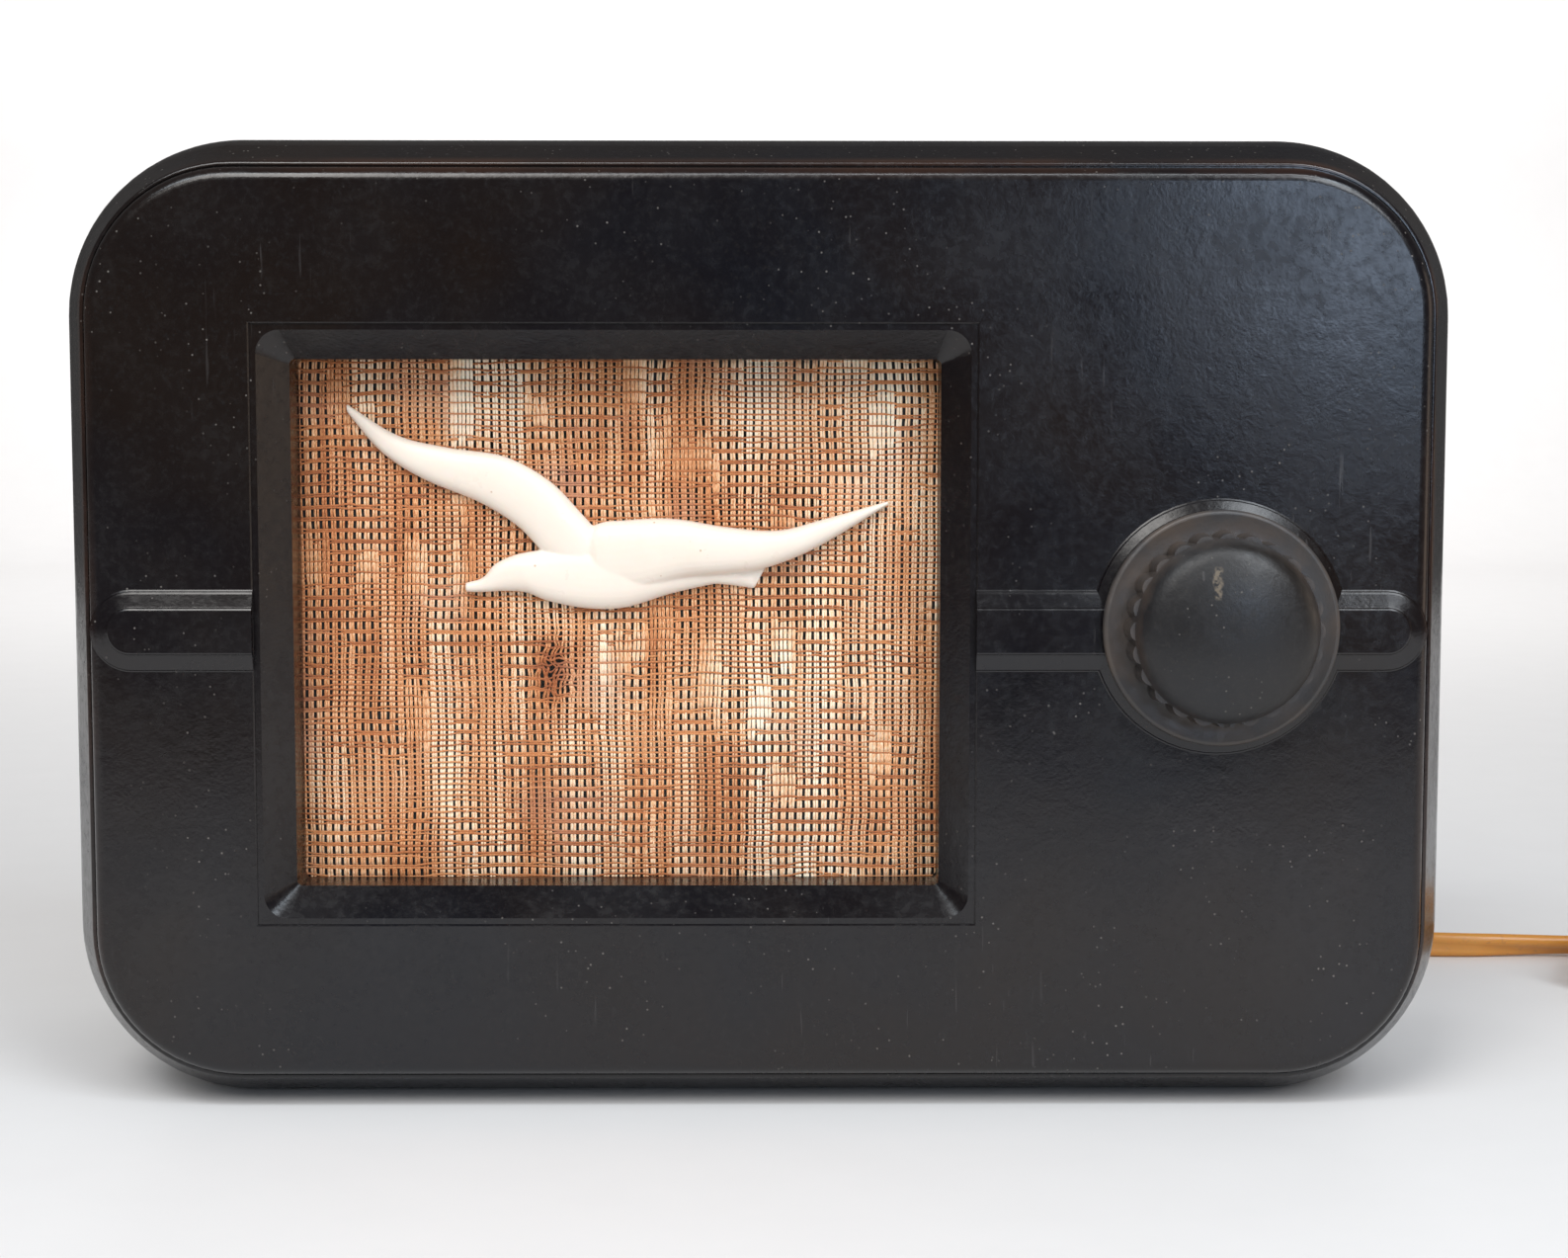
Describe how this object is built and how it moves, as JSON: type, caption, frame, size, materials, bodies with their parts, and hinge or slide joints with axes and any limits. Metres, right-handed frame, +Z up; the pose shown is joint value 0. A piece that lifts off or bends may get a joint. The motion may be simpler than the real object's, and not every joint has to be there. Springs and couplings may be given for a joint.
{
  "type": "tabletop radio",
  "caption": "Black Bakelite tabletop wired radio with a woven cloth grille, a gliding gull relief, a fluted volume knob and a coiled flat twin cord with a pin plug.",
  "frame": {"origin": "on the table under the middle of the set, without its cord: halfway across, and halfway from the knob to the case back", "axes": "+X to the right seen from the front, +Y to the back, +Z up; the front face looks along -Y"},
  "size_m": [0.3795, 0.1562, 0.174],
  "materials": {
    "bakelite": "polished black phenolic, faintly brown at worn edges",
    "carbon_track": "carbon track on board",
    "coil_paper": "varnished insulating paper",
    "cone_paper": "pulp paper",
    "control_shell": "pressed can",
    "copper_winding": "enamelled copper wire",
    "cord_plastic": "amber translucent flat twin flex",
    "felt": "grey felt",
    "grille_fabric": "coarse open woven cotton and rayon, cream and rust",
    "ivory_plastic": "ivory white moulded plastic",
    "knob_plastic": "dull black phenolic",
    "lamination": "stacked transformer sheets",
    "lead_insulation": "cotton covered hook-up wire",
    "magnet": "sintered magnet",
    "pin_brass": "turned brass",
    "plug_plastic": "dull dark brown phenolic",
    "plywood": "birch plywood",
    "pressboard": "brown pressboard",
    "pressed_steel": "grey lacquered pressed steel",
    "rubber": "soft black rubber",
    "spider_cloth": "varnished cloth",
    "tie_tape": "cotton tape",
    "tinned_brass": "tinned brass",
    "zinc_steel": "zinc plated, dulled"
  },
  "bodies": {
    "cabinet": {"front_case": "bakelite", "grille_cloth": "grille_fabric", "baffle_board": "plywood", "gull_ornament": "ivory_plastic", "board_screws": "zinc_steel", "speaker_gasket": "felt", "speaker_basket": "pressed_steel", "speaker_screws": "zinc_steel", "magnet_front_plate": "pressed_steel", "speaker_magnet": "magnet", "magnet_back_plate": "pressed_steel", "cone_surround": "cone_paper", "spider": "spider_cloth", "speaker_terminals": "tinned_brass", "transformer_core": "lamination", "transformer_coil": "coil_paper", "transformer_brackets": "zinc_steel", "transformer_screws": "zinc_steel", "control_body": "control_shell", "control_bush": "tinned_brass", "bush_washer": "zinc_steel", "bush_nut": "tinned_brass", "resistor_track": "carbon_track", "control_terminals": "tinned_brass", "back_cover": "pressboard", "back_screws": "zinc_steel", "cord_bush": "rubber", "input_leads": "lead_insulation", "speaker_leads": "lead_insulation", "control_leads": "lead_insulation", "power_cord": "cord_plastic", "cord_tail": "cord_plastic", "cord_coil": "cord_plastic", "cord_tie": "tie_tape", "plug_body": "plug_plastic", "plug_pins": "pin_brass", "plug_screw": "pin_brass"},
    "knob": {"volume_knob": "knob_plastic", "knob_grub_screw": "zinc_steel", "control_shaft": "zinc_steel", "control_wiper": "tinned_brass"},
    "cone": {"paper_cone": "cone_paper", "voice_coil": "copper_winding", "dust_cap": "felt"}
  },
  "joints": [
    {"name": "volume_turn", "type": "hinge", "parent": "cabinet", "child": "knob", "pos_m": [0.0813, -0.034, 0.0872], "axis": [0, -1, 0], "range_deg": [-135, 135]},
    {"name": "cone_travel", "type": "slide", "parent": "cabinet", "child": "cone", "axis": [0, -1, 0], "range_m": [-0.0008, 0.0008], "stiffness_N_per_m": 800, "deforming": ["cone_surround", "spider"]}
  ]
}
